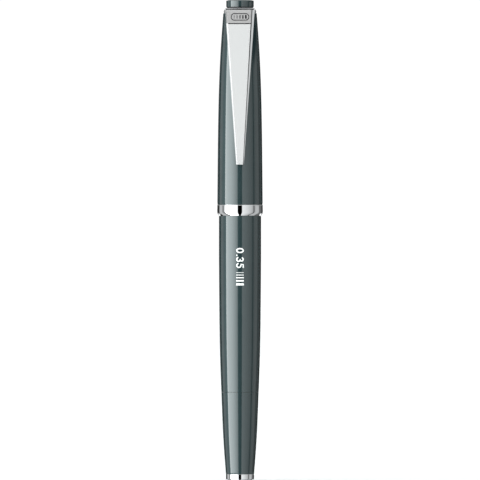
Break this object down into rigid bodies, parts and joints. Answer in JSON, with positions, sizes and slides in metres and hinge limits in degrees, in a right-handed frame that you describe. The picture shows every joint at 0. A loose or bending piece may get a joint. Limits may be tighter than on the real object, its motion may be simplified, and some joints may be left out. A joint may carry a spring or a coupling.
{
  "type": "technical pen",
  "caption": "Slim lacquered drawing pen: pull-off cap with tapered sprung clip, tubular nib with drop weight, and a turning end knob that drives an ink piston.",
  "frame": {"origin": "centre of the flat face of the tail, which the pen stands on", "axes": "+Z along the pen from the tail to the crown of the cap; -Y out through the clip's face; +X to the right when looking at the clip"},
  "size_m": [0.0132, 0.0149, 0.1382],
  "materials": {
    "lacquer": "gloss",
    "chrome": "polished",
    "clip_steel": "satin",
    "spring_steel": "satin",
    "nib_steel": "polished",
    "brass": "satin",
    "black_plastic": "matte",
    "grip_plastic": "satin",
    "cone_plastic": "satin",
    "coil_plastic": "matte",
    "coding_colour": "gloss",
    "washer_plastic": "satin",
    "piston_plastic": "matte",
    "liner_plastic": "matte",
    "rubber": "matte",
    "pad_rubber": "matte",
    "ink_glass": "gloss"
  },
  "bodies": {
    "barrel": {"barrel": "lacquer", "piston_guide": "black_plastic", "ink_reservoir": "ink_glass", "reservoir_gasket": "rubber", "grip_section": "grip_plastic", "cap_seal_ring": "rubber", "section_ring": "chrome", "breather_coil": "coil_plastic", "coding_ring": "coding_colour", "nib_cone": "cone_plastic", "nib_tube": "nib_steel", "safety_plug": "coil_plastic"},
    "knob": {"filler_knob": "lacquer", "tail_cap": "chrome", "knob_washer": "washer_plastic", "spindle": "brass", "retaining_clip": "spring_steel"},
    "piston": {"piston_rod": "piston_plastic", "piston_head": "piston_plastic", "piston_seal": "rubber"},
    "drop_weight": {"drop_weight": "nib_steel", "cleaning_wire": "nib_steel"},
    "cap": {"cap_shell": "lacquer", "cap_ring": "chrome", "cap_catch_ring": "spring_steel", "inner_cap": "liner_plastic", "nib_seal_pad": "pad_rubber", "finial_screw": "brass", "finial": "lacquer", "clip_collar": "chrome", "clip_pin": "spring_steel", "clip_spring": "spring_steel"},
    "clip": {"clip": "clip_steel"}
  },
  "joints": [
    {"name": "cap_pull", "type": "slide", "parent": "barrel", "child": "cap", "axis": [0, 0, 1], "range_m": [0, 0.06]},
    {"name": "clip_swing", "type": "hinge", "parent": "cap", "child": "clip", "pos_m": [0, -0.00425, 0.13455], "axis": [-1, 0, 0], "range_deg": [0, 5], "stiffness_Nm_per_rad": 0.8, "springref_deg": -2.86, "deforming": ["clip_spring"]},
    {"name": "knob_turn", "type": "hinge", "parent": "barrel", "child": "knob", "pos_m": [0, 0, 0.0253], "axis": [0, 0, 1], "range_deg": [0, 1800]},
    {"name": "piston_travel", "type": "slide", "parent": "barrel", "child": "piston", "axis": [0, 0, 1], "range_m": [0, 0.0201]},
    {"name": "weight_drop", "type": "slide", "parent": "barrel", "child": "drop_weight", "axis": [0, 0, 1], "range_m": [0, 0.002]}
  ],
  "couplings": [
    {"joint": "piston_travel", "follows": "knob_turn", "m_per_rad": 0.00063662}
  ]
}
